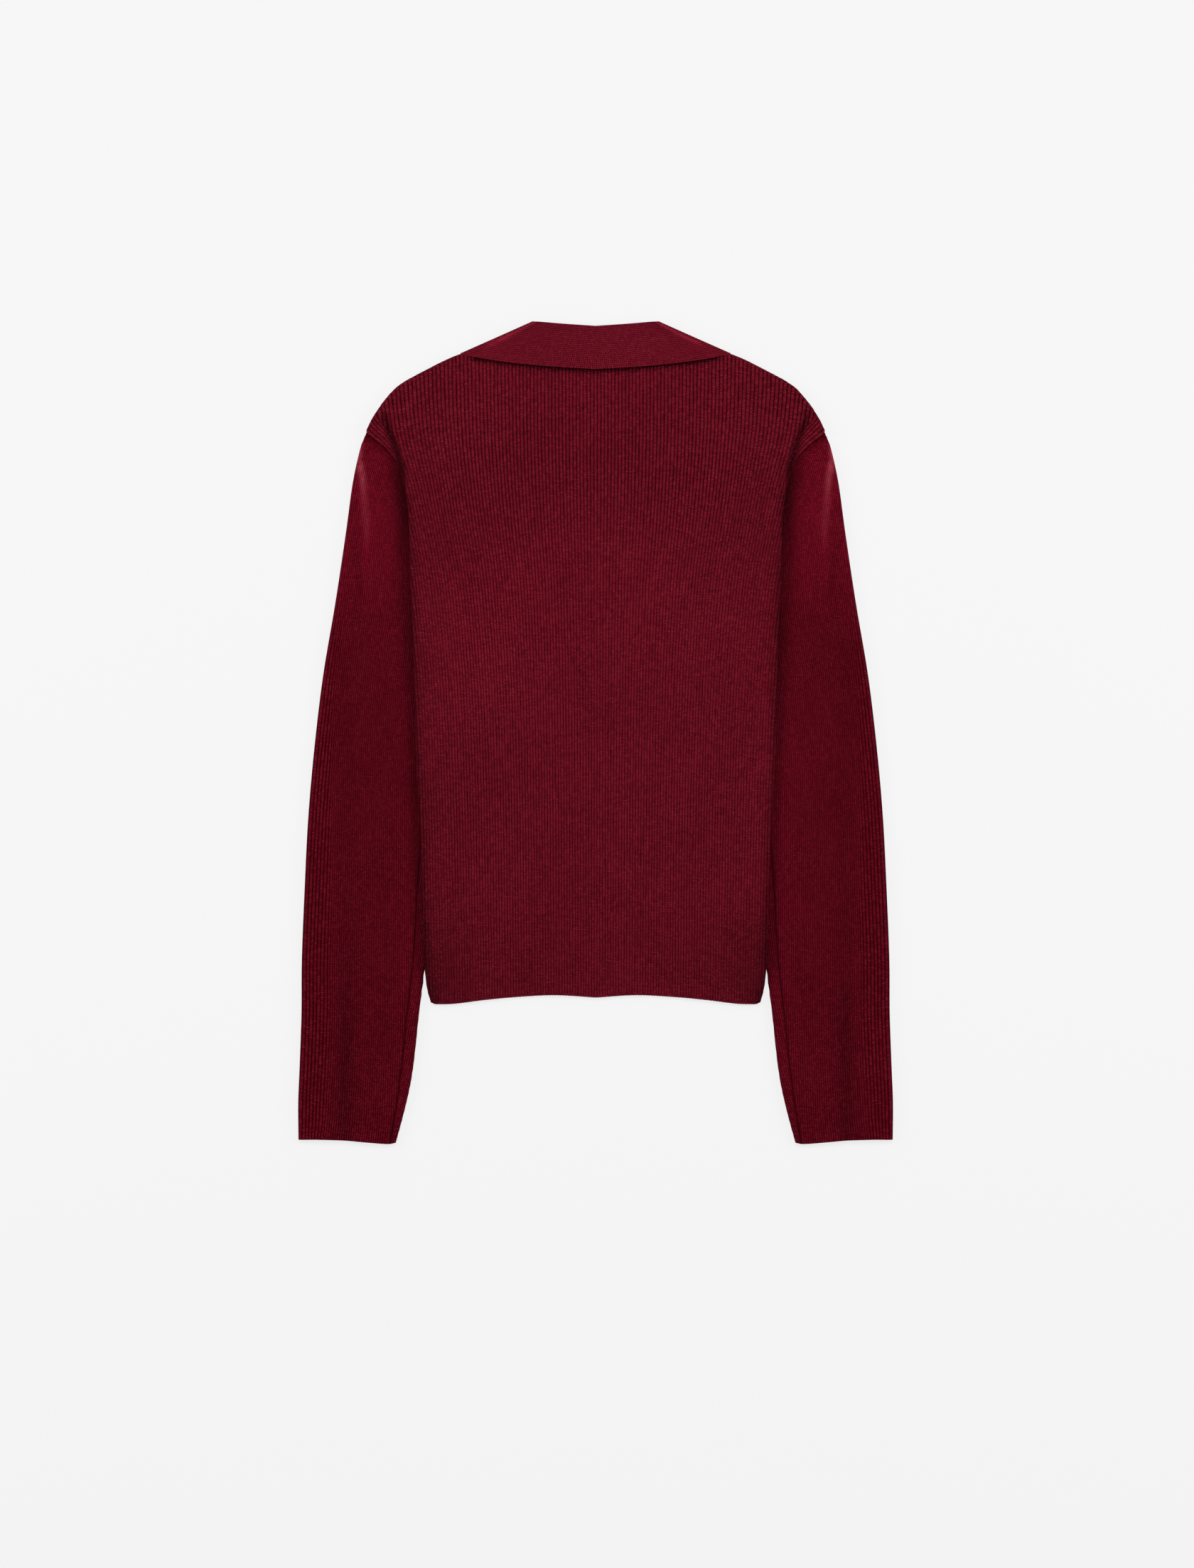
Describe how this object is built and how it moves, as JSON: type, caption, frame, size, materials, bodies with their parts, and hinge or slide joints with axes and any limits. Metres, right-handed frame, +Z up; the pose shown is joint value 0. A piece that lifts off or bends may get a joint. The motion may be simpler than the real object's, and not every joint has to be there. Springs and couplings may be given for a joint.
{
  "type": "v-neck sweater",
  "caption": "Rib-knit long-sleeved sweater with a V neck and folded-down collar, laid flat on its front with the back up.",
  "frame": {"origin": "middle of the laid-out garment's outline, on the surface it lies on", "axes": "+Y from the cuffs to the collar, +X towards the wearer's right sleeve, +Z up out of the back"},
  "size_m": [0.51, 0.7063, 0.0108],
  "materials": {
    "body_knit": "matt burgundy rib knit, broad ribs with deep narrow grooves",
    "sleeve_knit": "matt burgundy rib knit, finer and closer than on the body",
    "collar_knit": "matt burgundy close knit with its rows along the collar"
  },
  "bodies": {
    "root": {"back": "body_knit", "front": "body_knit", "sleeve_left": "sleeve_knit", "sleeve_right": "sleeve_knit", "collar": "collar_knit"}
  },
  "joints": []
}
